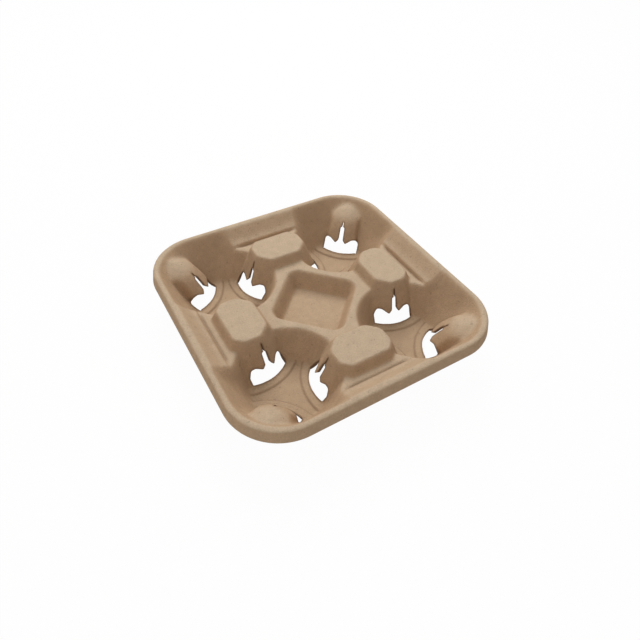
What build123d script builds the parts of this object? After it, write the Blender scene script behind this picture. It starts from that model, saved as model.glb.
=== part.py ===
from build123d import *
import os
from math import cos, radians, sqrt, tan

# A four-cup carrier moulded from paper pulp in one piece.
# The tray lies flat with its origin at the centre of its underside and +Z up.
# Every feature is drawn as the room above the pulp, for the upper face and again one wall
# further out for the underside, so the pulp keeps its thickness all over. Millimetres.

# Overall form
tray_width = 216.0          # across the foot of the turned-down lip
tray_height = 41.4          # underside of the pocket floors to the top of the rim
pulp_thickness = 2.0
draft_angle = 22.0          # lean of the walls of pockets, blocks and recess

# Rim and side wall
rim_flat_width = 5.0        # flat top of the rim
rim_edge_bevel = 1.2        # legs of the slanted face along the rim's outer edge
rim_corner_radius = 40.0    # plan radius of the rim's outer edge
lip_depth = 10.0            # the lip hangs this far below the rim
lip_flare = 2.0             # and spreads this much on the way down
side_wall_run = 8.9         # horizontal lean of the inner side wall
side_wall_drop = 8.6        # its height, from the rim down to the ledge
ledge_width = 3.6           # sloping ledge at the foot of the side wall
ledge_drop = 2.6
groove_width = 3.0          # fine groove beside the ledge, between two pockets
groove_depth = 1.3
groove_length = 52.0

# Land, the level between pockets, recess and blocks
land_drop = 12.4            # below the rim

# Pockets
pocket_pitch = 105.0        # centre to centre of two neighbouring pockets
pocket_floor_radius = 28.6
pocket_floor_bevel = 2.0    # legs of the slanted face between floor and wall
star_depth = 1.2            # the star-shaped floor lies this much below its three bands
band_offset = 56.9          # band arc centre from the pocket's axis
band_radius = 46.1

# Ribs, three in each pocket
rib_bearings = [0, 120, 240]  # the first points to the tray's corner
rib_offset = 47.7           # rib axis from the pocket's axis
rib_foot_radius = 31.4      # at the level of the bands
corner_rib_draft = 27.0     # the rib towards the tray's corner leans back more
corner_rib_bevel = 4.0      # legs of the slanted face round its shelf
block_bevel = 2.2           # and round a block's top
block_drop = 3.4            # block and corner shelf tops below the rim
block_reach = 77.9          # outer edge of a block top from the tray's centre

# Square recess between the four blocks
recess_width = 57.2         # across its sides at the land
recess_drop = 27.6          # its floor below the rim
recess_corner_radius = 9.0
recess_floor_bevel = 2.0

# Fork-shaped cut-out at the foot of every rib, heights above the bands
cut_width = 32.8
lobe_height = 12.4          # corner of an outer lobe, before it is rounded
lobe_radius = 4.5
tongue_height = 8.6         # lower tips of the two tongues beside the slit
tongue_spacing = 9.0
tongue_slope = 4.0          # from a tongue's tip up to the foot of the slit
slit_width = 3.8
slit_height = 22.3
tear_width = 0.7            # thin cut that carries the slit on up the rib
tear_height = 29.2

# Levels and values worked out from the sizes above
lean = tan(radians(draft_angle))
slant = 1.0 / cos(radians(draft_angle))
rim_outer = tray_width / 2 - lip_flare
rim_inner = rim_outer - rim_flat_width
corner_centre = rim_outer - rim_corner_radius
wall_foot = rim_inner - side_wall_run
ledge_inner = wall_foot - ledge_width
land_level = tray_height - land_drop
ledge_top_level = tray_height - side_wall_drop
ledge_foot_level = ledge_top_level - ledge_drop
block_level = tray_height - block_drop
recess_level = tray_height - recess_drop
star_level = pulp_thickness
band_level = star_level + star_depth
pocket_axis = pocket_pitch / 2
headroom = 5.0              # how far the air bodies run above the rim
seam = 0.01                 # how far two bodies that meet run into each other
quarters = [0, 90, 180, 270]


def rounded_square(half_width, level):
    """Square in plan whose corners share the rim's corner centres."""
    return Plane.XY.offset(level) * RectangleRounded(
        2 * half_width, 2 * half_width, half_width - corner_centre
    )


def side_air(skin):
    """Room inside the side walls, from the land up past the rim."""
    wall_lean = side_wall_run / side_wall_drop
    wall_shift = skin * sqrt(1 + wall_lean**2)
    top = tray_height + headroom
    foot_line = ledge_top_level - skin
    foot_reach = wall_foot + wall_shift - skin * wall_lean
    stations = [
        (ledge_inner, land_level - skin),
        (ledge_inner, ledge_foot_level - skin),
        (foot_reach, foot_line),
        (foot_reach + wall_lean * (top - foot_line), top),
    ]
    air = None
    for (low_reach, low), (high_reach, high) in zip(stations, stations[1:]):
        slab = loft([rounded_square(low_reach, low), rounded_square(high_reach, high)], ruled=True)
        air = slab if air is None else air + slab
    return air


def bevel_legs(legs, draft, skin):
    """Legs of a bevel at a wall's foot, grown with the skin so that the pulp stays even."""
    turn = radians(90.0 - draft) / 2
    return legs + skin * tan(turn / 2) / cos(turn)


def pocket_air(skin):
    """One pocket with its axis on Z: a drafted cup with a star-shaped floor."""
    foot = band_level - skin
    top = tray_height + headroom
    foot_radius = pocket_floor_radius + skin * (slant - lean)
    bevel = bevel_legs(pocket_floor_bevel, draft_angle, skin)
    flat_radius = foot_radius - bevel
    bevel_top = foot + bevel / slant
    section = Polyline(
        (0, foot),
        (flat_radius, foot),
        (foot_radius + lean * (bevel_top - foot), bevel_top),
        (foot_radius + lean * (top - foot), top),
        (0, top),
        close=True,
    )
    cup = revolve(Plane.XZ * make_face(section), Axis.Z)
    star = Circle(flat_radius)
    for bearing in rib_bearings:
        star -= Rot(0, 0, bearing) * Pos(band_offset, 0) * Circle(band_radius - skin)
    return cup + extrude(Plane.XY.offset(star_level - skin) * star, star_depth + seam)


def rib(draft, legs, skin):
    """One rib with its axis on Z: a drafted cone with a bevelled shoulder."""
    foot = -headroom
    top = block_level - skin
    side = rib_foot_radius - skin / cos(radians(draft))
    rib_lean = tan(radians(draft))
    bevel = bevel_legs(legs, draft, -skin)
    bevel_foot = top - bevel * cos(radians(draft))
    section = Polyline(
        (0, foot),
        (side + rib_lean * (band_level - foot), foot),
        (side + rib_lean * (band_level - bevel_foot), bevel_foot),
        (side + rib_lean * (band_level - top) - bevel, top),
        (0, top),
        close=True,
    )
    return revolve(Plane.XZ * make_face(section), Axis.Z)


def pocket_ribs(skin):
    """The three ribs of one pocket, the first towards +X."""
    corner_rib = rib(corner_rib_draft, corner_rib_bevel, skin)
    block_rib = rib(draft_angle, block_bevel, skin)
    return [
        Rot(0, 0, bearing) * Pos(rib_offset, 0) * shape
        for bearing, shape in zip(rib_bearings, [corner_rib, block_rib, block_rib])
    ]


def recess_air(skin):
    """The square recess, turned so that its sides face the pockets."""
    floor = recess_level - skin
    top = land_level + headroom
    half_width = recess_width / 2 + skin * slant
    corner_radius = recess_corner_radius + skin
    bevel = bevel_legs(recess_floor_bevel, draft_angle, skin)
    bevel_top = floor + bevel / slant

    def outline(level, inset=0.0):
        inward = lean * (land_level - level) + inset
        half = half_width - inward
        return Plane.XY.offset(level) * RectangleRounded(2 * half, 2 * half, corner_radius - inward)

    foot = loft([outline(floor, bevel), outline(bevel_top)], ruled=True)
    walls = loft([outline(bevel_top), outline(top)], ruled=True)
    return Rot(0, 0, 45) * (foot + walls)


def groove_air(skin):
    """The groove beside the ledge of the front wall."""
    half = groove_width / 2 + skin * groove_depth / groove_width
    middle = ledge_inner - groove_width / 2
    floor = land_level - groove_depth - skin
    notch = Polyline(
        (middle - half, land_level - skin + seam),
        (middle, floor),
        (middle + half, land_level - skin + seam),
        close=True,
    )
    ridge = extrude(Plane.YZ * make_face(notch), groove_length / 2, both=True)
    return Rot(0, 0, 180) * ridge


def block_limit(skin):
    """Everything on the tray's side of the front block's outer wall."""
    reach = block_reach - skin * slant
    low = -headroom
    outline = Polyline(
        (0, low),
        (-reach - lean * (block_level - low), low),
        (-reach + lean * headroom, block_level + headroom),
        (0, block_level + headroom),
        close=True,
    )
    return extrude(Plane.YZ * make_face(outline), tray_width / 2, both=True)


def quarter(angle, shape):
    """A shape of the front-left quarter carried round to another one."""
    return Rot(0, 0, angle) * shape


def tray_air(skin):
    """All the room above the pulp."""
    pocket_place = Pos(-pocket_axis, -pocket_axis) * Rot(0, 0, 225)
    room = side_air(skin) + recess_air(skin)
    cup = pocket_place * pocket_air(skin)
    corner_rib, left_rib, right_rib = [pocket_place * r for r in pocket_ribs(skin)]
    front_rib = max([left_rib, right_rib], key=lambda r: r.center().X)
    front_half = front_rib & block_limit(skin)
    front_block = front_half + mirror(front_half, about=Plane.YZ)
    for angle in quarters:
        room += quarter(angle, cup)
        room += quarter(angle, groove_air(skin))
    for angle in quarters:
        room -= quarter(angle, corner_rib)
        room -= quarter(angle, front_block)
    return room


def rim_ring():
    """The flat rim and its turned-down lip, carried round the tray."""
    under = tray_height - pulp_thickness
    lip_foot = tray_height - lip_depth
    section = make_face(
        Polyline(
            (rim_inner, under),
            (rim_outer - pulp_thickness, under),
            (rim_outer - pulp_thickness + lip_flare, lip_foot),
            (rim_outer + lip_flare, lip_foot),
            (rim_outer, tray_height),
            (rim_inner, tray_height),
            close=True,
        )
    )
    outer = section.vertices().sort_by(Axis.Y)[-2:].sort_by(Axis.X)[-1]
    section = chamfer(outer, rim_edge_bevel)
    side = extrude(Plane.YZ * section, corner_centre, both=True)
    corner = Pos(corner_centre, corner_centre) * revolve(
        Plane.XZ * (Pos(-corner_centre, 0) * section), Axis.Z, revolution_arc=90
    )
    ring = side + corner
    for angle in quarters[1:]:
        ring += quarter(angle, side + corner)
    return ring


def cut_out():
    """Fork-shaped cut through a rib's foot, with the rib's direction on +X."""
    half = cut_width / 2
    tongue = tongue_spacing / 2
    slot = slit_width / 2
    tear = tear_width / 2
    side = [
        (half, 0.0, 0.0),
        (half, lobe_height, lobe_radius),
        (tongue, tongue_height, 0.0),
        (slot, tongue_height + tongue_slope, 0.0),
        (slot, slit_height, 0.0),
        (tear, slit_height + slit_width / 2, 0.0),
        (tear, tear_height, 0.0),
    ]
    right = [(x, y) for x, y, r in side]
    left = [(-x, y) for x, y, r in reversed(side)]
    fork = make_face(Polyline(*right, *left, close=True))
    for x, y, r in side:
        if r > 0:
            for end in (x, -x):
                corner = fork.vertices().sort_by_distance(Vector(end, y))[0]
                fork = fillet(corner, r)
    upright = Plane((0, 0, band_level), x_dir=(0, 1, 0), z_dir=(1, 0, 0))
    wall_cut = extrude(upright * fork, rib_offset)
    floor_cut = Pos(rib_offset, 0, -pulp_thickness) * Cylinder(
        rib_foot_radius,
        band_level + 2 * pulp_thickness,
        align=(Align.CENTER, Align.CENTER, Align.MIN),
    )
    floor_cut &= Pos(rib_offset / 2, 0) * Box(rib_offset, cut_width, 2 * tray_height)
    return wall_cut + floor_cut


def cup_carrier():
    """The whole carrier: pulp between the two faces, the rim, and the twelve cut-outs."""
    above_rim = Pos(0, 0, tray_height) * Box(
        2 * tray_width,
        2 * tray_width,
        4 * headroom,
        align=(Align.CENTER, Align.CENTER, Align.MIN),
    )
    underside = tray_air(pulp_thickness) - above_rim
    carrier = underside + rim_ring() - tray_air(0.0)
    pocket_place = Pos(-pocket_axis, -pocket_axis) * Rot(0, 0, 225)
    for angle in quarters:
        for bearing in rib_bearings:
            carrier -= quarter(angle, pocket_place * Rot(0, 0, bearing) * cut_out())
    return carrier


carrier = cup_carrier()
carrier.label = "cup_carrier"
os.makedirs("parts", exist_ok=True)
export_step(carrier, "parts/cup_carrier.step")
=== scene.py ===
import logging
import math
from dataclasses import dataclass
from enum import Enum

import bmesh
import bpy
import numpy as np
from mathutils import Matrix, Vector


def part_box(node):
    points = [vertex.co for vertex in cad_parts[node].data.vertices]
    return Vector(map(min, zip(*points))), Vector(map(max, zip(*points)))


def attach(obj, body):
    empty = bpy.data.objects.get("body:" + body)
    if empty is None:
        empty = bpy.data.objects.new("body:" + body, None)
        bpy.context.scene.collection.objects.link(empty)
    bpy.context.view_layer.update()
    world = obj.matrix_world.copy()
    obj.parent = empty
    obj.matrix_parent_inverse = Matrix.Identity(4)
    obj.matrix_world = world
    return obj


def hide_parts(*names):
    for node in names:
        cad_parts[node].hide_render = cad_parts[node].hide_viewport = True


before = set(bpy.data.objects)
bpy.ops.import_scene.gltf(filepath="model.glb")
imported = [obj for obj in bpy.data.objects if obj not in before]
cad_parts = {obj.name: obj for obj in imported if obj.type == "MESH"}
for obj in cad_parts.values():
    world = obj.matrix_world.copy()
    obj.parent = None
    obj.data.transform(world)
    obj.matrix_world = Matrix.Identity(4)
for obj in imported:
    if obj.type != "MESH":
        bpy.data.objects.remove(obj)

LOG = logging.getLogger("cup_carrier")
CAD_NODE = "cup_carrier"
BODY = "root"
PHOTO_WIDTH = 640.0
SENSOR_WIDTH = 36.0
SIZE_DIGITS = 5
MM = 0.001
ROOT_TWO = math.sqrt(2.0)
HALF_FLAT = math.radians(22.5)
QUARTERS = (0.0, 90.0, 180.0, 270.0)
LEAST_TURN = 1e-4
LEAST_LENGTH = 1e-9
LEAST_SQUARE = 1e-18
NOISE_RANGE = (0.3, 0.7)
RAMP_INPUTS = ("Value", "From Min", "From Max", "To Min", "To Max")
WHITE = (1.0, 1.0, 1.0, 1.0)


def soft_min(a: np.ndarray, b: np.ndarray, blend: float) -> np.ndarray:
    """Lower of two heights, with the corner between them rounded.

    Where the heights differ by less than blend, a parabola joins them: with
    h = 1/2 + (b - a) / (2 blend) held between 0 and 1, it is b + (a - b) h - blend h (1 - h).

    Args:
        a: First heights.
        b: Second heights.
        blend: Height difference over which the two run together.

    Returns:
        The blended heights.
    """
    h = np.clip(0.5 + 0.5 * (b - a) / blend, 0.0, 1.0)
    return b + (a - b) * h - blend * h * (1.0 - h)


def soft_max(a: np.ndarray, b: np.ndarray, blend: float) -> np.ndarray:
    """Upper of two heights with a rounded corner: the soft minimum turned upside down."""
    return -soft_min(-a, -b, blend)


def smooth_step(value: np.ndarray, low: float, high: float) -> np.ndarray:
    """Zero below low, one above high, and t * t * (3 - 2 t) between them."""
    t = np.clip((value - low) / (high - low), 0.0, 1.0)
    return t * t * (3.0 - 2.0 * t)


def bell(value: np.ndarray, width: float) -> np.ndarray:
    """One at zero, falling off on both sides as exp(-(value / width)^2)."""
    return np.exp(-((value / width) ** 2))


def rounded_path(corners: list[tuple[float, float, float]], steps: int) -> np.ndarray:
    """Open line through corners, each one replaced by an arc of its own radius.

    At a corner that turns by an angle t the arc of radius r starts r tan(t / 2) before it
    and ends as far behind it; a radius of zero keeps the corner.

    Args:
        corners: Points as (first coordinate, second coordinate, corner radius).
        steps: Segments on each arc.

    Returns:
        Array of points, one row each.
    """
    points = np.array([c[:2] for c in corners], float)
    line = [points[:1]]
    for before, here, after, radius in zip(
        points, points[1:], points[2:], [c[2] for c in corners[1:]]
    ):
        back = (before - here) / np.linalg.norm(before - here)
        ahead = (after - here) / np.linalg.norm(after - here)
        half = 0.5 * math.acos(float(np.clip(-back @ ahead, -1.0, 1.0)))
        if radius <= 0.0 or half < LEAST_TURN:
            line.append(here[None])
            continue
        inward = (back + ahead) / np.linalg.norm(back + ahead)
        centre = here + inward * radius / math.cos(half)
        swing = np.linspace(-half, half, steps + 1)[:, None]
        across = (ahead - back) / np.linalg.norm(ahead - back)
        line.append(centre - radius * (np.cos(swing) * inward - np.sin(swing) * across))
    line.append(points[-1:])
    return np.vstack(line)


def distance_to_line(points: np.ndarray, line: np.ndarray) -> np.ndarray:
    """Distance of each plane point from the nearest straight piece of a line.

    The foot of the perpendicular on a piece is at the share (p - start) . run / run . run of
    it, held between 0 and 1.

    Args:
        points: Rows of two coordinates.
        line: Rows of two coordinates, joined in order.

    Returns:
        One distance for each point.
    """
    starts, runs = line[:-1], np.diff(line, axis=0)
    offset = points[:, None, :] - starts
    length = np.maximum((runs**2).sum(axis=1), LEAST_SQUARE)
    share = np.clip((offset * runs).sum(axis=2) / length, 0.0, 1.0)
    return np.linalg.norm(offset - share[..., None] * runs, axis=2).min(axis=1)


def grid_faces(rows: int, columns: int, start: int = 0, wrap: bool = False) -> np.ndarray:
    """Quads of a grid of vertices that are numbered row by row.

    Args:
        rows: Vertices down the grid.
        columns: Vertices along a row.
        start: Number of the first vertex.
        wrap: Whether the last column joins the first.

    Returns:
        Array of quads.
    """
    down, along = np.meshgrid(
        np.arange(rows - 1), np.arange(columns if wrap else columns - 1), indexing="ij"
    )
    beside = (along + 1) % columns
    quads = np.stack(
        [
            down * columns + along,
            down * columns + beside,
            (down + 1) * columns + beside,
            (down + 1) * columns + along,
        ],
        axis=-1,
    )
    return quads.reshape(-1, 4) + start


def new_object(name: str, vertices: np.ndarray, faces: list) -> bpy.types.Object:
    """Mesh object at the origin, linked to the scene.

    Args:
        name: Name of the object and of its mesh.
        vertices: Rows of three coordinates.
        faces: Lists of vertex numbers.

    Returns:
        The new object.
    """
    mesh = bpy.data.meshes.new(name)
    mesh.from_pydata(vertices.tolist(), [], faces)
    mesh.validate()
    mesh.update()
    thing = bpy.data.objects.new(name, mesh)
    bpy.context.scene.collection.objects.link(thing)
    return thing


def outward(thing: bpy.types.Object) -> None:
    """Turns every face of a closed mesh outwards.

    Args:
        thing: Object with the mesh.
    """
    work = bmesh.new()
    work.from_mesh(thing.data)
    bmesh.ops.recalc_face_normals(work, faces=work.faces)
    work.to_mesh(thing.data)
    work.free()


class Bearing(Enum):
    """Directions of a pocket's three ribs, in degrees, for the pocket of the first quadrant."""

    CORNER = 45.0
    LEFT = 165.0
    RIGHT = 285.0

    def from_pocket(self, axis: float, distance: float) -> tuple[float, float]:
        """Point at a distance from the pocket's axis in this direction."""
        angle = math.radians(self.value)
        return axis + distance * math.cos(angle), axis + distance * math.sin(angle)


@dataclass
class TrayForm:
    """The tray as a height above its plan, for the upper face and for the underside.

    All sizes are in metres. Height zero is the plane that the tray stands on. Each surface is
    a simple one (plane, cone or ramp) lowered by the skin along its own normal, and the
    surfaces are put together with soft minima and maxima, which round every edge as the
    felted pulp does.
    """

    half_width: float
    tray_height: float
    thickness: float = 2.0 * MM
    lean: float = math.tan(math.radians(22.0))
    outer_lean: float = math.tan(math.radians(32.5))
    lip_flare: float = 2.0 * MM
    lip_depth: float = 10.0 * MM
    rim_flat: float = 5.0 * MM
    rim_radius: float = 2.4 * MM
    corner_radius: float = 40.0 * MM
    side_wall_run: float = 8.9 * MM
    side_wall_drop: float = 8.6 * MM
    ledge_width: float = 3.6 * MM
    ledge_drop: float = 1.9 * MM
    step_slope: float = 2.2
    groove_width: float = 2.6 * MM
    groove_bell: float = 0.45
    groove_depth: float = 1.2 * MM
    groove_half_length: float = 21.0 * MM
    groove_fade: float = 9.0 * MM
    land_drop: float = 12.4 * MM
    pocket_axis: float = 52.5 * MM
    pocket_floor_radius: float = 28.6 * MM
    flare_cosines: tuple[float, float] = (0.1, 0.55)
    star_depth: float = 1.2 * MM
    star_edge: tuple[float, float] = (-0.4 * MM, 0.8 * MM)
    band_offset: float = 56.9 * MM
    band_radius: float = 46.1 * MM
    rib_offset: float = 47.7 * MM
    rib_foot_radius: float = 31.4 * MM
    corner_lean: float = math.tan(math.radians(27.0))
    corner_turn: float = 26.0 * MM
    corner_upper_lean: float = math.tan(math.radians(46.0))
    flank_lean: float = math.tan(math.radians(9.0))
    flank_foot: float = 16.9 * MM
    fan_start: float = 34.0 * MM
    fan_spread: float = 0.42
    block_drop: float = 3.4 * MM
    block_reach: float = 77.9 * MM
    facet_levels: tuple[float, float] = (5.0 * MM, 17.0 * MM)
    recess_half_width: float = 28.6 * MM
    recess_drop: float = 27.6 * MM
    recess_corner: float = 9.0 * MM
    foot_blend: float = 4.2 * MM
    edge_blend: float = 5.0 * MM
    shoulder_blend: float = 4.0 * MM
    shelf_blend: float = 14.0 * MM
    flank_blend: float = 17.0 * MM
    turn_blend: float = 8.0 * MM
    facet_blend: float = 2.5 * MM
    wall_blend: float = 1.2 * MM

    def __post_init__(self) -> None:
        """Works out the levels and reaches that follow from the sizes."""
        self.rim_outer = self.half_width - self.lip_flare
        self.rim_inner = self.rim_outer - self.rim_flat
        self.corner_centre = self.rim_outer - self.corner_radius
        self.wall_foot = self.rim_inner - self.side_wall_run
        self.band_level = self.thickness + self.star_depth
        self.land_level = self.tray_height - self.land_drop
        self.block_level = self.tray_height - self.block_drop
        self.recess_level = self.tray_height - self.recess_drop

    def reach(self, x: np.ndarray, y: np.ndarray) -> np.ndarray:
        """Half-width of the rounded square through each point.

        Beyond the corner centres it is their place plus the distance from them, and elsewhere
        it is the larger of the two coordinates.

        Args:
            x, y: Plan coordinates.

        Returns:
            The half-widths.
        """
        x, y = np.abs(x), np.abs(y)
        over_x = np.maximum(x - self.corner_centre, 0.0)
        over_y = np.maximum(y - self.corner_centre, 0.0)
        return np.where(
            (over_x > 0.0) & (over_y > 0.0),
            self.corner_centre + np.hypot(over_x, over_y),
            np.maximum(x, y),
        )

    def ramp(self, foot: float, run: np.ndarray, slope: float, skin: float) -> np.ndarray:
        """Height foot + run * slope, less the skin along its normal: skin root(1 + slope^2)."""
        return foot + run * slope - skin * math.sqrt(1.0 + slope * slope)

    def side_height(self, x: np.ndarray, y: np.ndarray, skin: float) -> np.ndarray:
        """Land, ledge, side wall and rim: the soft maximum of three ramps, capped by the rim.

        Args:
            x, y: Plan coordinates.
            skin: Depth below the upper face.

        Returns:
            The heights.
        """
        reach = self.reach(x, y)
        ledge_top = self.tray_height - self.side_wall_drop
        ledge_inner = self.wall_foot - self.ledge_width
        wall = self.ramp(
            ledge_top, reach - self.wall_foot, self.side_wall_drop / self.side_wall_run, skin
        )
        ledge = self.ramp(
            ledge_top, reach - self.wall_foot, self.ledge_drop / self.ledge_width, skin
        )
        step = self.ramp(ledge_top - self.ledge_drop, reach - ledge_inner, self.step_slope, skin)
        shelf = soft_min(ledge, step, 0.5 * self.wall_blend)
        land = np.full_like(reach, self.land_level - skin)
        side = soft_max(land, shelf, 0.5 * self.wall_blend)
        side = soft_max(side, wall, self.wall_blend)
        cap = np.full_like(reach, self.tray_height - skin)
        return soft_min(side, cap, self.wall_blend) - self.groove(x, y)

    def groove(self, x: np.ndarray, y: np.ndarray) -> np.ndarray:
        """Depth of the fine groove inside the ledge: a bell across it, faded at its ends.

        Args:
            x, y: Plan coordinates.

        Returns:
            The depths.
        """
        middle = self.wall_foot - self.ledge_width - 0.5 * self.groove_width
        along = np.minimum(np.abs(x), np.abs(y))
        half = self.groove_half_length
        fade = 1.0 - smooth_step(along, half, half + self.groove_fade)
        width = self.groove_bell * self.groove_width
        return self.groove_depth * bell(self.reach(x, y) - middle, width) * fade

    def star(self, x: np.ndarray, y: np.ndarray) -> np.ndarray:
        """How far a point is inside the star-shaped floor.

        It is the least of its three distances from the circles of the bands.

        Args:
            x, y: Plan coordinates.

        Returns:
            The distances, below zero on the bands.
        """
        star = np.full_like(x, np.inf)
        for bearing in Bearing:
            centre_x, centre_y = bearing.from_pocket(self.pocket_axis, self.band_offset)
            star = np.minimum(star, np.hypot(x - centre_x, y - centre_y) - self.band_radius)
        return star

    def pocket_height(self, x: np.ndarray, y: np.ndarray, skin: float) -> np.ndarray:
        """Pocket of the first quadrant: a cone over a floor whose middle is a sunken star.

        Towards the rim the cone leans back more, by a smooth step of the cosine of the angle
        from the diagonal, and there it ends at a steep ramp under the rim's inner edge.

        Args:
            x, y: Plan coordinates.
            skin: Depth below the upper face.

        Returns:
            The heights.
        """
        from_x, from_y = x - self.pocket_axis, y - self.pocket_axis
        from_axis = np.hypot(from_x, from_y)
        cosine = (from_x + from_y) / (ROOT_TWO * np.maximum(from_axis, LEAST_LENGTH))
        flare = smooth_step(cosine, *self.flare_cosines)
        lean = self.lean + (self.outer_lean - self.lean) * flare
        slope = 1.0 / lean
        cone = self.band_level + (from_axis - self.pocket_floor_radius) * slope
        cone = cone - skin * np.sqrt(1.0 + slope * slope)
        edge = self.reach(x, y) - self.rim_inner
        rim_wall = self.ramp(self.tray_height, edge, 1.0 / self.lean, skin)
        sunk = self.star_depth * smooth_step(self.star(x, y), *self.star_edge)
        pocket = soft_max(self.band_level - skin - sunk, cone, self.foot_blend + skin)
        return soft_max(pocket, rim_wall, self.foot_blend)

    def recess_height(self, x: np.ndarray, y: np.ndarray, skin: float) -> np.ndarray:
        """Square recess, turned by an eighth of a turn, with rounded corners and leaning sides.

        Args:
            x, y: Plan coordinates.
            skin: Depth below the upper face.

        Returns:
            The heights.
        """
        along, across = np.abs(x + y) / ROOT_TWO, np.abs(x - y) / ROOT_TWO
        corner = self.recess_half_width - self.recess_corner
        over_a = np.maximum(along - corner, 0.0)
        over_b = np.maximum(across - corner, 0.0)
        outside = np.hypot(over_a, over_b) - self.recess_corner
        inside = np.minimum(np.maximum(along, across) - self.recess_half_width, 0.0)
        distance = np.where((over_a > 0.0) | (over_b > 0.0), outside, inside)
        wall = self.ramp(self.land_level, distance, 1.0 / self.lean, skin)
        floor = np.full_like(x, self.recess_level - skin)
        return soft_max(floor, wall, self.foot_blend + skin)

    def corner_rib_height(self, x: np.ndarray, y: np.ndarray, skin: float) -> np.ndarray:
        """Rib towards the tray's corner, running up softly into the rim.

        A cone that leans back more than the other walls, and from its turn on still more, is
        held between two steep flanks, one each side of the diagonal, that fan out towards
        the rim. Wide soft minima join the cones, the flanks and a small shelf.

        Args:
            x, y: Plan coordinates.
            skin: Depth below the upper face.

        Returns:
            The heights.
        """
        centre_x, centre_y = Bearing.CORNER.from_pocket(self.pocket_axis, self.rib_offset)
        run = self.rib_foot_radius - np.hypot(x - centre_x, y - centre_y)
        cone = self.ramp(self.band_level, run, 1.0 / self.corner_lean, skin)
        run_at_turn = (self.corner_turn - self.band_level) * self.corner_lean
        upper = self.ramp(self.corner_turn, run - run_at_turn, 1.0 / self.corner_upper_lean, skin)
        cone = soft_min(cone, upper, self.turn_blend)
        along = (x + y) / ROOT_TWO - ROOT_TWO * self.pocket_axis
        fan = self.fan_spread * np.maximum(along - self.fan_start, 0.0)
        inside = self.flank_foot + fan - np.abs(x - y) / ROOT_TWO
        flank = self.ramp(self.band_level, inside, 1.0 / self.flank_lean, skin)
        shelf = np.full_like(x, self.block_level - skin)
        return soft_min(soft_min(cone, flank, self.flank_blend), shelf, self.shelf_blend)

    def facet_radius(self, beside: np.ndarray, over: np.ndarray) -> np.ndarray:
        """Distance from a block's rib axis, measured in eight flats.

        It is the largest of |a|, |b| and (|a| + |b|) / root 2, over the cosine of 22.5
        degrees, so that an eight-sided ring lies inside the circle of its size.

        Args:
            beside: Distance from the axis, along the tray's side.
            over: Distance from the axis, away from the tray's centre.

        Returns:
            The distances.
        """
        a, b = np.abs(beside), np.abs(over)
        flats = soft_max(soft_max(a, b, self.facet_blend), (a + b) / ROOT_TWO, self.facet_blend)
        return flats / math.cos(HALF_FLAT)

    def block_height(self, along: np.ndarray, out: np.ndarray, skin: float) -> np.ndarray:
        """Block between two pockets, made by the ribs of both and cut off towards the rim.

        Round at its foot, it turns into eight flats on the way up. Its height is a cone's
        about the line between the two rib axes, lowered by a ramp that leans back from the
        block's outer edge.

        Args:
            along: Distance from the block's middle plane.
            out: Distance from the tray's centre.
            skin: Depth below the upper face.

        Returns:
            The heights.
        """
        axis_along, axis_out = Bearing.LEFT.from_pocket(self.pocket_axis, self.rib_offset)
        beside, over = np.maximum(along - axis_along, 0.0), out - axis_out
        round_radius = np.hypot(beside, over)
        slope = 1.0 / self.lean
        foot, radius = self.band_level, self.rib_foot_radius
        share = smooth_step(foot + (radius - round_radius) * slope, *self.facet_levels)
        mixed = round_radius + share * (self.facet_radius(beside, over) - round_radius)
        cone = self.ramp(foot, radius - mixed, slope, skin)
        back = self.ramp(self.block_level, self.block_reach - out, slope, skin)
        top = np.full_like(out, self.block_level - skin)
        height = soft_min(cone, top, self.shoulder_blend)
        return soft_min(height, back, self.shoulder_blend)

    def height(self, x: np.ndarray, y: np.ndarray, skin: float) -> np.ndarray:
        """Height of the tray over its plan.

        The tray is the same in all four quadrants, so the point is folded into the first.
        Pocket and recess are taken off the land with soft minima, then ribs and blocks are
        added with soft maxima.

        Args:
            x, y: Plan coordinates.
            skin: Depth below the upper face, zero or the pulp's thickness.

        Returns:
            The heights.
        """
        x, y = np.abs(x), np.abs(y)
        height = self.side_height(x, y, skin)
        height = soft_min(height, self.pocket_height(x, y, skin), self.edge_blend)
        height = soft_min(height, self.recess_height(x, y, skin), self.edge_blend)
        height = soft_max(height, self.corner_rib_height(x, y, skin), self.foot_blend)
        height = soft_max(height, self.block_height(x, y, skin), self.foot_blend)
        height = soft_max(height, self.block_height(y, x, skin), self.foot_blend)
        return np.minimum(height, self.tray_height - skin)


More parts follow.
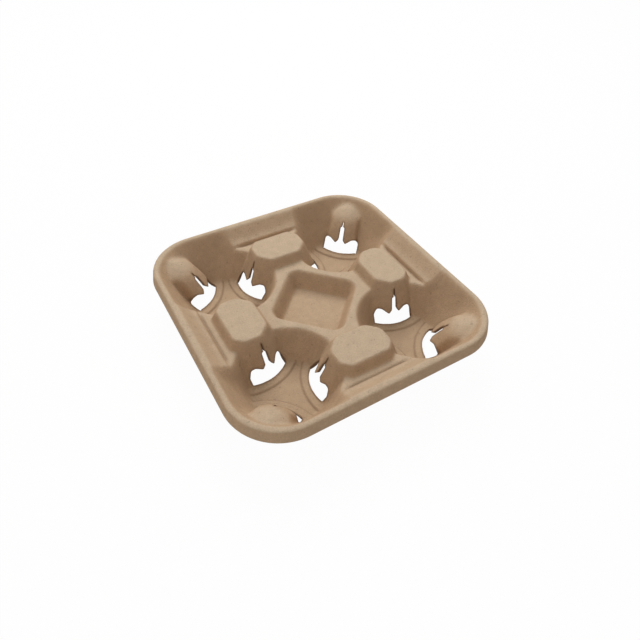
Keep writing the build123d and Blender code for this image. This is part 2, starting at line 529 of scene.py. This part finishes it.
@dataclass
class ForkCut:
    """Fork-shaped cut-out at a rib's foot, as a solid that is taken away from the tray."""

    form: TrayForm
    half_width: float = 16.2 * MM
    end_height: float = 6.0 * MM
    end_radius: float = 3.0 * MM
    lobe_outer: float = 13.4 * MM
    lobe_outer_radius: float = 2.6 * MM
    lobe_inner: float = 9.8 * MM
    lobe_inner_radius: float = 2.2 * MM
    lobe_height: float = 11.6 * MM
    tongue_place: float = 4.6 * MM
    tongue_height: float = 8.7 * MM
    tongue_radius: float = 1.1 * MM
    slit_half_width: float = 2.1 * MM
    slit_height: float = 21.8 * MM
    slit_foot_rise: float = 3.0 * MM
    slit_foot_radius: float = 2.0 * MM
    slit_taper: float = 0.2 * MM
    slit_end_radius: float = 1.4 * MM
    tear_half_width: float = 0.5 * MM
    tear_foot_rise: float = 0.4 * MM
    tear_taper: float = 0.15 * MM
    tear_height: float = 28.6 * MM
    corner_tear_height: float = 25.4 * MM
    far_end: float = 44.0 * MM
    below: float = 3.0 * MM
    near_margin: float = 4.0 * MM
    rib_margin: float = 0.3 * MM
    floor_margin: float = 1.0 * MM
    steps: int = 5

    def outline(self, bearing: Bearing) -> np.ndarray:
        """Upper edge of the cut as rows of (place across the rib, height above the bands).

        Args:
            bearing: Which rib it is for: the tear above the slit is shorter towards the corner.

        Returns:
            Array of points, one row each.
        """
        slit, tear = self.slit_half_width, self.tear_half_width
        end = self.corner_tear_height if bearing is Bearing.CORNER else self.tear_height
        corners = [
            (self.half_width, 0.0, 0.0),
            (self.half_width, self.end_height, self.end_radius),
            (self.lobe_outer, self.lobe_height, self.lobe_outer_radius),
            (self.lobe_inner, self.lobe_height, self.lobe_inner_radius),
            (self.tongue_place, self.tongue_height, self.tongue_radius),
            (slit, self.tongue_height + self.slit_foot_rise, self.slit_foot_radius),
            (slit - self.slit_taper, self.slit_height, self.slit_end_radius),
            (tear, self.slit_height + self.tear_foot_rise, 0.0),
            (tear - self.tear_taper, end, 0.0),
        ]
        half = rounded_path(corners, self.steps)
        mirrored = half[::-1] * np.array([-1.0, 1.0])
        return np.vstack([half, mirrored])

    def section_grid(self, quarter: float, bearing: Bearing) -> np.ndarray:
        """Corner points of the cutting solid, a row of four for each point of the outline.

        The near face follows the rib's foot circle, so at a place s across the rib it stands
        at the rib's offset less root(foot radius^2 - s^2) from the pocket's axis.

        Args:
            quarter: Turn of the pocket about the tray's centre, in radians.
            bearing: Direction of the rib in the pocket of the first quadrant.

        Returns:
            Array of points, indexed by outline point, corner and coordinate.
        """
        across, height = self.outline(bearing).T
        form = self.form
        near = form.rib_offset - np.sqrt(form.rib_foot_radius**2 - across**2)
        far = np.full_like(near, self.far_end)
        top = form.band_level + height
        bottom = np.full_like(top, -self.below)
        out = np.stack([near, near, far, far], axis=1)
        level = np.stack([bottom, top, top, bottom], axis=1)
        side = np.repeat(across[:, None], 4, axis=1)
        spot = form.pocket_axis * ROOT_TWO
        diagonal = quarter + math.radians(Bearing.CORNER.value)
        angle = quarter + math.radians(bearing.value)
        cosine, sine = math.cos(angle), math.sin(angle)
        x = spot * math.cos(diagonal) + out * cosine - side * sine
        y = spot * math.sin(diagonal) + out * sine + side * cosine
        return np.stack([x, y, level], axis=-1)

    def build(self) -> bpy.types.Object:
        """All the cutting solids of the tray in one mesh."""
        vertices, faces, start = [], [], 0
        for turn in QUARTERS:
            for bearing in Bearing:
                grid = self.section_grid(math.radians(turn), bearing)
                rows, columns = grid.shape[:2]
                vertices.append(grid.reshape(-1, 3))
                faces += grid_faces(rows, columns, start, wrap=True).tolist()
                last = start + columns * (rows - 1)
                faces += [list(range(start, start + columns))[::-1]]
                faces += [list(range(last, last + columns))]
                start += columns * rows
        cutter = new_object("cutter", np.vstack(vertices), faces)
        outward(cutter)
        return cutter

    def edge_distance(self, x: np.ndarray, y: np.ndarray, z: np.ndarray) -> np.ndarray:
        """Distance of points of the tray from the edges of the nearest cut-out.

        On the rib it is measured to the outline, in the plane across the rib, and on the
        floor to the circle of the rib's foot.

        Args:
            x, y: Plan coordinates, folded into the first quadrant.
            z: Heights.

        Returns:
            Distances, infinite far from all cut-outs.
        """
        form = self.form
        nearest = np.full_like(x, np.inf)
        for bearing in Bearing:
            line = self.outline(bearing)
            angle = math.radians(bearing.value)
            from_x, from_y = x - form.pocket_axis, y - form.pocket_axis
            side = from_y * math.cos(angle) - from_x * math.sin(angle)
            out = from_x * math.cos(angle) + from_y * math.sin(angle)
            inside = form.rib_foot_radius - np.hypot(out - form.rib_offset, side)
            level = z - form.band_level
            beside = np.abs(side) < self.half_width + self.near_margin
            near = beside & (out > 0.0) & (level < self.tear_height + self.near_margin)
            on_rib = near & (inside > -self.rib_margin)
            spots = np.stack([side[on_rib], level[on_rib]], axis=1)
            nearest[on_rib] = np.minimum(nearest[on_rib], distance_to_line(spots, line))
            on_floor = near & (np.abs(side) < self.half_width) & (level < self.floor_margin)
            gap = np.abs(inside[on_floor])
            nearest[on_floor] = np.minimum(nearest[on_floor], gap)
        return nearest


@dataclass
class PulpTray:
    """The moulded tray: an upper face and an underside joined round the foot of the lip."""

    form: TrayForm
    rings: int = 124
    lip_start: float = 0.3
    hem_rounding: float = 0.45
    inner_rounding: float = 0.5
    arc_steps: int = 3
    weld_gap: float = 1e-6
    crease_angle: float = 50.0
    name: str = "pulp_tray"

    def place(self, p: np.ndarray, q: np.ndarray, reach: np.ndarray) -> tuple:
        """Plan point of a grid point on the rounded square of the given reach.

        The share of the smaller index in the larger one is the share of the way from the
        middle of a side to the corner's middle, along the side and then along the arc.

        Args:
            p: First grid index, from minus rings to rings.
            q: Second grid index.
            reach: Half-width of the rounded square.

        Returns:
            Arrays x and y.
        """
        ring = np.maximum(np.abs(p), np.abs(q))
        share = np.minimum(np.abs(p), np.abs(q)) / np.maximum(ring, 1)
        straight = np.minimum(reach, self.form.corner_centre)
        bend = reach - straight
        run = share * (straight + 0.25 * math.pi * bend)
        along = np.minimum(run, straight)
        turn = (run - along) / np.maximum(bend, LEAST_LENGTH)
        major = straight + bend * np.cos(turn)
        minor = along + bend * np.sin(turn)
        first = np.abs(p) >= np.abs(q)
        x = np.sign(p) * np.where(first, major, minor)
        y = np.sign(q) * np.where(first, minor, major)
        return x, y

    def sheet(self, last: float, skin: float, rings: int) -> np.ndarray:
        """Vertices of one face of the tray as a square grid, row by row.

        Args:
            last: Reach of the outermost ring.
            skin: Depth below the upper face.
            rings: Rings from the middle to the last, evenly spaced in reach.

        Returns:
            Array of points.
        """
        index = np.arange(-rings, rings + 1)
        p, q = np.meshgrid(index, index, indexing="ij")
        ring = np.maximum(np.abs(p), np.abs(q))
        x, y = self.place(p, q, last * ring / rings)
        z = self.form.height(x, y, skin)
        return np.stack([x, y, z], axis=-1).reshape(-1, 3)

    def edge_walk(self, rings: int) -> tuple[np.ndarray, np.ndarray]:
        """Grid indices round the outermost ring, once round from the first corner.

        Args:
            rings: Rings of the sheet.

        Returns:
            Arrays of both indices.
        """
        run = np.arange(-rings, rings)
        high, low = np.full(2 * rings, rings), np.full(2 * rings, -rings)
        return np.concatenate([run, high, -run, low]), np.concatenate([low, run, high, -run])

    def edge_ids(self, rings: int, start: int) -> np.ndarray:
        """Vertex numbers of a sheet's outermost ring, in the order of the edge walk."""
        p, q = self.edge_walk(rings)
        return start + (p + rings) * (2 * rings + 1) + (q + rings)

    def lip_profile(self) -> np.ndarray:
        """Section of rim edge and lip as rows of (reach, height), from the rim's top round
        the foot of the lip to the rim's underside."""
        form = self.form
        top = form.tray_height
        foot = top - form.lip_depth
        wall = form.thickness
        outer, inner = form.rim_outer, form.rim_outer - wall
        flare = form.lip_flare
        start = form.rim_inner + self.lip_start * form.rim_flat
        return rounded_path(
            [
                (start, top, 0.0),
                (outer, top, form.rim_radius),
                (outer + flare, foot, self.hem_rounding * wall),
                (inner + flare, foot, self.hem_rounding * wall),
                (inner, top - wall, self.inner_rounding * form.rim_radius),
                (start, top - wall, 0.0),
            ],
            self.arc_steps,
        )

    def build(self) -> bpy.types.Object:
        """The closed tray, still without its cut-outs.

        The underside has half the rings of the upper face, so at its edge every face takes in
        three points of the lip and two of the underside.
        """
        path = self.lip_profile()
        start, end, lip = path[0], path[-1], path[1:-1]
        coarse = self.rings // 2
        upper = self.sheet(float(start[0]), 0.0, self.rings)
        under = self.sheet(float(end[0]), self.form.thickness, coarse)
        p, q = self.edge_walk(self.rings)
        strips = []
        for reach, height in lip:
            x, y = self.place(p, q, np.full(p.shape, reach))
            strips.append(np.stack([x, y, np.full(p.shape, height)], axis=-1))
        first_strip = len(upper) + len(under)
        rows = [self.edge_ids(self.rings, 0)]
        rows += [first_strip + k * len(p) + np.arange(len(p)) for k in range(len(lip))]
        ids = np.vstack(rows)
        beside = np.roll(ids, -1, axis=1)
        lip_quads = np.stack([ids[:-1], ids[1:], beside[1:], beside[:-1]], axis=-1)
        foot, hem = ids[-1], self.edge_ids(coarse, len(upper))
        closing = np.stack(
            [foot[::2], hem, np.roll(hem, -1), np.roll(foot, -2)[::2], foot[1::2]], axis=-1
        )
        upper_quads = grid_faces(2 * self.rings + 1, 2 * self.rings + 1)[:, ::-1]
        under_quads = grid_faces(2 * coarse + 1, 2 * coarse + 1, len(upper))
        vertices = np.vstack([upper, under] + strips)
        quads = np.vstack([upper_quads, under_quads, lip_quads.reshape(-1, 4)])
        return new_object(self.name, vertices, quads.tolist() + closing.tolist())

    def cut(self, tray: bpy.types.Object, cutter: bpy.types.Object) -> None:
        """Takes the cutting solids, made triangles, away from the tray and drops them.

        Args:
            tray: The closed tray.
            cutter: The cutting solids.
        """
        work = bmesh.new()
        work.from_mesh(cutter.data)
        bmesh.ops.triangulate(work, faces=work.faces)
        work.to_mesh(cutter.data)
        work.free()
        modifier = tray.modifiers.new("cut_outs", "BOOLEAN")
        modifier.operation = "DIFFERENCE"
        modifier.solver = "EXACT"
        modifier.object = cutter
        view = bpy.context.evaluated_depsgraph_get()
        done = bpy.data.meshes.new_from_object(tray.evaluated_get(view))
        tray.modifiers.clear()
        tray.data = done
        tray.data.name = self.name
        bpy.data.objects.remove(cutter)

    def weld(self, tray: bpy.types.Object) -> None:
        """Closes the hair seams that the cut leaves where a corner meets the side of an edge.

        A corner c lies on the open edge from a to b where |a c| + |c b| is |a b| within the
        weld gap. The edge is split there and the two corners are merged.

        Args:
            tray: The tray with its cut-outs.
        """
        work = bmesh.new()
        work.from_mesh(tray.data)
        open_edges = [edge for edge in work.edges if len(edge.link_faces) == 1]
        corners = {corner for edge in open_edges for corner in edge.verts}
        splits = []
        for edge in open_edges:
            a, b = edge.verts
            length = edge.calc_length()
            for corner in corners - {a, b}:
                before, behind = (corner.co - a.co).length, (corner.co - b.co).length
                if before + behind < length + self.weld_gap and min(before, behind) > self.weld_gap:
                    splits.append((edge, a, before / length))
        for edge, start, share in splits:
            bmesh.utils.edge_split(edge, start, share)
        spots = {corner for edge in work.edges if edge.is_boundary for corner in edge.verts}
        bmesh.ops.remove_doubles(work, verts=list(spots), dist=self.weld_gap)
        left = sum(1 for edge in work.edges if len(edge.link_faces) != 2)
        LOG.info("%d seams closed, %d open edges left", len(splits), left)
        work.to_mesh(tray.data)
        work.free()

    def smooth(self, tray: bpy.types.Object) -> None:
        """Smooth shading, apart from edges that turn by more than the crease angle."""
        tray.data.polygons.foreach_set("use_smooth", np.ones(len(tray.data.polygons), bool))
        tray.data.set_sharp_from_angle(angle=math.radians(self.crease_angle))


@dataclass
class PulpTones:
    """Two tones of painted shade for every vertex, kept in the mesh as attributes.

    "wall" is painted shade, one where the pulp is painted browner and darker, on steep walls
    and down in the pockets, and "crease" is painted shade, one where it is darkest, in creases,
    in the grooves and along the cut edges.
    """

    form: TrayForm
    fork: ForkCut
    flat_normal: float = 0.97
    steep_normal: float = 0.58
    deep_level: float = 6.0 * MM
    high_level: float = 33.0 * MM
    deep_share: float = 0.6
    band_height: float = 1.0 * MM
    band_inset: float = 0.5 * MM
    crease_width: float = 0.7 * MM
    edge_width: float = 0.75 * MM
    band_weight: float = 0.52
    groove_weight: float = 0.45

    def wall(self, points: np.ndarray, normals: np.ndarray) -> np.ndarray:
        """Painted shade: steepness s from the normal, and s + (1 - s) times a share that grows
        with depth, so steep walls and faces low down are painted browner and darker.

        Args:
            points: Rows of three coordinates.
            normals: Rows of three coordinates.

        Returns:
            One tone for each point.
        """
        upright = np.abs(normals[:, 2])
        steep = 1.0 - smooth_step(upright, self.steep_normal, self.flat_normal)
        deep = 1.0 - smooth_step(points[:, 2], self.deep_level, self.high_level)
        return steep + (1.0 - steep) * self.deep_share * deep

    def crease_shade(self, points: np.ndarray) -> np.ndarray:
        """Painted shade in creases: the largest of three bells, along the bands' edges, the grooves
        and the cut edges.

        Args:
            points: Rows of three coordinates.

        Returns:
            One tone for each point.
        """
        form = self.form
        x, y, z = np.abs(points[:, 0]), np.abs(points[:, 1]), points[:, 2]
        from_axis = np.hypot(x - form.pocket_axis, y - form.pocket_axis)
        low = z < form.band_level + self.band_height
        on_floor = (from_axis < form.pocket_floor_radius) & low
        band = bell(form.star(x, y) - self.band_inset, self.crease_width) * on_floor
        groove = self.groove_weight * form.groove(x, y) / form.groove_depth
        edge = bell(self.fork.edge_distance(x, y, z), self.edge_width)
        return np.maximum(np.maximum(self.band_weight * band, groove), edge)

    def paint(self, tray: bpy.types.Object) -> None:
        """Writes both tones of painted shade into the tray's mesh.

        Args:
            tray: The tray with its cut-outs.
        """
        mesh = tray.data
        count = len(mesh.vertices)
        points, normals = np.empty(3 * count), np.empty(3 * count)
        mesh.vertices.foreach_get("co", points)
        mesh.vertex_normals.foreach_get("vector", normals)
        points, normals = points.reshape(-1, 3), normals.reshape(-1, 3)
        tones = {"wall": self.wall(points, normals), "crease_shade": self.crease_shade(points)}
        for name, values in tones.items():
            tone = mesh.attributes.new(name, "FLOAT", "POINT")
            tone.data.foreach_set("value", values.astype(np.float32))


class NodeBench:
    """Adds nodes to one node tree and joins them."""

    def __init__(self, tree: bpy.types.NodeTree) -> None:
        """Keeps the tree to work on."""
        self.tree = tree

    def add(self, kind: str, inputs: dict | None = None, **settings: object) -> bpy.types.Node:
        """New node with its properties set and its inputs fed.

        Args:
            kind: Type of node.
            inputs: What feeds each input, by the input's name or number.
            settings: Values of the node's properties.

        Returns:
            The node.
        """
        node = self.tree.nodes.new(kind)
        for name, value in settings.items():
            setattr(node, name, value)
        for place, value in (inputs or {}).items():
            self.feed(node.inputs[place], value)
        return node

    def feed(self, socket: bpy.types.NodeSocket, value: object) -> None:
        """Joins an output to an input, or sets the input's own value.

        Args:
            socket: The input.
            value: Output of another node, or a plain value.
        """
        if isinstance(value, bpy.types.NodeSocket):
            self.tree.links.new(value, socket)
        else:
            socket.default_value = value

    def noise(self, place: object, scale: float, detail: float, rough: float) -> object:
        """Noise with its contrast stretched to run from zero to one.

        Args:
            place: Output with the coordinates.
            scale: Features per metre.
            detail: Octaves.
            rough: Strength of each octave beside the one before.

        Returns:
            The stretched noise.
        """
        inputs = {"Vector": place, "Scale": scale, "Detail": detail, "Roughness": rough}
        noise = self.add("ShaderNodeTexNoise", inputs)
        return self.ramp(noise.outputs["Fac"], *NOISE_RANGE, 0.0, 1.0)

    def ramp(self, value: object, low: float, high: float, start: float, end: float) -> object:
        """Value carried from low..high to start..end, held at both ends."""
        inputs = dict(zip(RAMP_INPUTS, (value, low, high, start, end)))
        return self.add("ShaderNodeMapRange", inputs).outputs["Result"]

    def calc(self, kind: str, *values: object) -> object:
        """Result of a math node of the given kind, for two or three values."""
        return self.add("ShaderNodeMath", dict(enumerate(values)), operation=kind).outputs[0]

    def mix(self, share: object, first: object, second: object) -> object:
        """Colour mixed from two by a share."""
        inputs = {"Factor": share, "A": first, "B": second}
        return self.add("ShaderNodeMix", inputs, data_type="RGBA").outputs["Result"]

    def shade(self, colour: object, light: object) -> object:
        """Colour, or vector, times a number."""
        inputs = {0: colour, "Scale": light}
        return self.add("ShaderNodeVectorMath", inputs, operation="SCALE").outputs["Vector"]

    def seen(self) -> object:
        """One for rays from the camera, a mirror or glass, zero for the light on the object."""
        path = self.add("ShaderNodeLightPath")
        mirror = self.calc(
            "MAXIMUM", path.outputs["Is Glossy Ray"], path.outputs["Is Transmission Ray"]
        )
        return self.calc("MAXIMUM", path.outputs["Is Camera Ray"], mirror)


@dataclass(frozen=True)
class PulpFinish:
    """Dry brown paper pulp: mottled, fibrous, flecked and matte, with painted shade."""

    name: str = "pulp"
    pale: tuple[float, float, float, float] = (0.535, 0.405, 0.278, 1.0)
    # Painted shade: steep walls and the low parts of the pockets are turned from pale towards this
    # brown.
    brown: tuple[float, float, float, float] = (0.492, 0.333, 0.206, 1.0)
    # Painted shade: creases, grooves and cut edges are turned towards this dark brown, by up to the
    # share below.
    dark: tuple[float, float, float, float] = (0.16, 0.085, 0.042, 1.0)
    crease_shade_share: float = 0.78
    grain_range: float = 0.26
    mottle_range: float = 0.1
    fleck_loss: float = 0.2
    fleck_share: float = 0.42
    fleck_detail: float = 1.0
    dark_fleck: tuple[float, float] = (0.25, 0.31)
    bright_fleck: tuple[float, float] = (0.72, 0.78)
    bright_gain: float = 0.6
    roughness: float = 0.95
    specular: float = 0.2
    grain_scale: float = 1000.0
    grain_detail: float = 4.0
    grain_rough: float = 0.75
    mottle_scale: float = 160.0
    mottle_detail: float = 3.0
    mottle_rough: float = 0.5
    fibre_scale: float = 520.0
    fibre_stir: float = 0.002
    fibre_edge: float = 0.12
    fibre_weight: float = 0.8
    bump_strength: float = 0.45
    bump_distance: float = 0.0005

    def build(self) -> bpy.types.Material:
        """Material with mottled colour, fine grain, flecks, fibres, a felt bump and painted shade.
        """
        material = bpy.data.materials.new(self.name)
        material.use_nodes = True
        bench = NodeBench(material.node_tree)
        shader = material.node_tree.nodes["Principled BSDF"]
        shader.inputs["Roughness"].default_value = self.roughness
        shader.inputs["Specular IOR Level"].default_value = self.specular
        place = bench.add("ShaderNodeTexCoord").outputs["Object"]
        grain = bench.noise(place, self.grain_scale, self.grain_detail, self.grain_rough)
        mottle = bench.noise(place, self.mottle_scale, self.mottle_detail, self.mottle_rough)
        fibres = self.fibres(bench, place)
        darkest = 1.0 - 0.5 * (self.grain_range + self.mottle_range)
        light = bench.calc("MULTIPLY_ADD", grain, self.grain_range, darkest)
        light = bench.calc("ADD", light, bench.calc("MULTIPLY", mottle, self.mottle_range))
        light = bench.calc("SUBTRACT", light, self.flecks(bench, place))
        # Painted shade: the wall tone turns the colour from pale to brown, and the tone of creases,
        # grooves and cut edges darkens it towards the dark brown.
        crease_shade = bench.add("ShaderNodeAttribute", attribute_name="crease_shade").outputs["Fac"]
        crease_shade = bench.calc("MULTIPLY", crease_shade, self.crease_shade_share)
        wall = bench.add("ShaderNodeAttribute", attribute_name="wall").outputs["Fac"]
        colour = bench.mix(wall, self.pale, self.brown)
        colour = bench.mix(crease_shade, bench.shade(colour, light), self.dark)
        bench.feed(shader.inputs["Base Color"], colour)
        relief = bench.calc("ADD", grain, bench.calc("MULTIPLY", fibres, self.fibre_weight))
        felt = {"Strength": self.bump_strength, "Distance": self.bump_distance, "Height": relief}
        bump = bench.add("ShaderNodeBump", felt)
        bench.feed(shader.inputs["Normal"], bump.outputs["Normal"])
        return material

    def fibres(self, bench: NodeBench, place: object) -> object:
        """Net of fine short fibres: the edges of cells on a slightly stirred grid.

        Args:
            bench: Where the nodes are added.
            place: Output with the coordinates.

        Returns:
            One on the fibres, zero between them.
        """
        stir = bench.add("ShaderNodeTexNoise", {"Vector": place, "Scale": self.fibre_scale})
        shift = bench.shade(stir.outputs["Color"], self.fibre_stir)
        moved = bench.add("ShaderNodeVectorMath", {0: place, 1: shift}, operation="ADD")
        grid = {"Vector": moved.outputs["Vector"], "Scale": self.fibre_scale}
        cells = bench.add("ShaderNodeTexVoronoi", grid, feature="DISTANCE_TO_EDGE")
        return bench.ramp(cells.outputs["Distance"], 0.0, self.fibre_edge, 1.0, 0.0)

    def flecks(self, bench: NodeBench, place: object) -> object:
        """Loss of light in a few small dark specks, less a gain in fewer bright ones.

        Args:
            bench: Where the nodes are added.
            place: Output with the coordinates.

        Returns:
            The loss.
        """
        scale = self.fleck_share * self.grain_scale
        inputs = {"Vector": place, "Scale": scale, "Detail": self.fleck_detail}
        specks = bench.add("ShaderNodeTexNoise", inputs)
        dark = bench.ramp(specks.outputs["Fac"], *self.dark_fleck, self.fleck_loss, 0.0)
        gain = self.bright_gain * self.fleck_loss
        bright = bench.ramp(specks.outputs["Fac"], *self.bright_fleck, 0.0, gain)
        return bench.calc("SUBTRACT", dark, bright)


@dataclass(frozen=True)
class Lamp:
    """Square area lamp: its place and size in metres, and its power in watts."""

    name: str
    spot: tuple[float, float, float]
    size: float
    watts: float


@dataclass
class Studio:
    """Pale floor, soft lights and the camera at the photograph's viewing angle."""

    form: TrayForm
    azimuth: float = -32.7681
    elevation: float = 46.8111
    roll: float = 2.7392
    focal_pixels: float = 506.0086
    distance: float = 3.7392
    sideways: float = 0.033
    upways: float = -0.2469
    floor_half_width: float = 3.0
    floor_colour: tuple[float, float, float, float] = (0.75, 0.75, 0.75, 1.0)
    floor_roughness: float = 0.9
    floor_white: float = 0.97
    world_strength: float = 0.4
    lamps: tuple[Lamp, ...] = (
        Lamp("key", (0.35, 0.75, 1.1), 0.7, 13.0),
        Lamp("fill", (-0.9, -0.5, 0.9), 1.0, 3.2),
    )

    def camera(self) -> bpy.types.Object:
        """Camera fitted to the photograph, with distances in units of the rim's half-width."""
        unit = self.form.rim_outer
        azimuth, elevation = math.radians(self.azimuth), math.radians(self.elevation)
        roll = math.radians(self.roll)
        back = Vector(
            (
                math.sin(azimuth) * math.cos(elevation),
                -math.cos(azimuth) * math.cos(elevation),
                math.sin(elevation),
            )
        )
        level = (-back).cross(Vector((0.0, 0.0, 1.0))).normalized()
        upright = level.cross(-back)
        right = math.cos(roll) * level + math.sin(roll) * upright
        up = math.cos(roll) * upright - math.sin(roll) * level
        target = Vector((0.0, 0.0, self.form.tray_height))
        spot = target + unit * (self.distance * back + self.sideways * right + self.upways * up)
        data = bpy.data.cameras.new("photo_camera")
        data.sensor_width = SENSOR_WIDTH
        data.lens = SENSOR_WIDTH * self.focal_pixels / PHOTO_WIDTH
        camera = bpy.data.objects.new("photo_camera", data)
        turn = Matrix((right, up, back)).transposed()
        camera.matrix_world = Matrix.Translation(spot) @ turn.to_4x4()
        bpy.context.scene.collection.objects.link(camera)
        bpy.context.scene.camera = camera
        return camera

    def light(self, lamp: Lamp) -> bpy.types.Object:
        """Lights one lamp, aimed at the middle of the tray's foot.

        Args:
            lamp: Which lamp.

        Returns:
            The lamp's object.
        """
        data = bpy.data.lights.new(lamp.name, "AREA")
        data.size = lamp.size
        data.energy = lamp.watts
        thing = bpy.data.objects.new(lamp.name, data)
        thing.location = lamp.spot
        aim = Vector((0.0, 0.0, 0.0)) - Vector(lamp.spot)
        thing.rotation_euler = aim.to_track_quat("-Z", "Y").to_euler()
        bpy.context.scene.collection.objects.link(thing)
        return thing

    def floor(self) -> bpy.types.Object:
        """Wide pale floor under the tray, nearly white to the camera, with a faint shadow."""
        half = self.floor_half_width
        corners = np.array([[-half, -half, 0], [half, -half, 0], [half, half, 0], [-half, half, 0]])
        floor = new_object("floor", corners, [[0, 1, 2, 3]])
        material = bpy.data.materials.new("floor")
        material.use_nodes = True
        nodes = material.node_tree.nodes
        bench = NodeBench(material.node_tree)
        shader = nodes["Principled BSDF"]
        shader.inputs["Base Color"].default_value = self.floor_colour
        shader.inputs["Roughness"].default_value = self.floor_roughness
        white = bench.add("ShaderNodeEmission").outputs["Emission"]
        share = bench.calc("MULTIPLY", bench.seen(), self.floor_white)
        inputs = {"Fac": share, 1: shader.outputs["BSDF"], 2: white}
        blend = bench.add("ShaderNodeMixShader", inputs)
        bench.feed(nodes["Material Output"].inputs["Surface"], blend.outputs["Shader"])
        floor.data.materials.append(material)
        return floor

    def world(self) -> None:
        """Even soft light from all round, and plain white where the camera sees past."""
        world = bpy.data.worlds.new("studio")
        world.use_nodes = True
        bench = NodeBench(world.node_tree)
        background = world.node_tree.nodes["Background"]
        background.inputs["Color"].default_value = WHITE
        strength = bench.ramp(bench.seen(), 0.0, 1.0, self.world_strength, 1.0)
        bench.feed(background.inputs["Strength"], strength)
        bpy.context.scene.world = world

    def build(self) -> None:
        """The whole studio."""
        self.camera()
        self.floor()
        self.world()
        for lamp in self.lamps:
            self.light(lamp)
        bpy.context.scene.view_settings.view_transform = "Standard"


def main() -> None:
    """Builds the tray and the studio, in order, and reports each piece."""
    logging.basicConfig(level=logging.INFO, format="%(name)s: %(message)s")
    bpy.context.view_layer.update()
    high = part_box(CAD_NODE)[1]
    half_width, tray_height = round(high.x, SIZE_DIGITS), round(high.z, SIZE_DIGITS)
    form = TrayForm(half_width=half_width, tray_height=tray_height)
    fork = ForkCut(form)
    builder = PulpTray(form)
    tray = builder.build()
    LOG.info("closed tray, %d faces", len(tray.data.polygons))
    builder.cut(tray, fork.build())
    builder.weld(tray)
    builder.smooth(tray)
    PulpTones(form, fork).paint(tray)
    tray.data.materials.clear()
    tray.data.materials.append(PulpFinish().build())
    triangles = sum(len(face.vertices) - 2 for face in tray.data.polygons)
    LOG.info("%s with its cut-outs, %d triangles", tray.name, triangles)
    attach(tray, BODY)
    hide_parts(CAD_NODE)
    Studio(form).build()


if __name__ == "__main__":
    main()
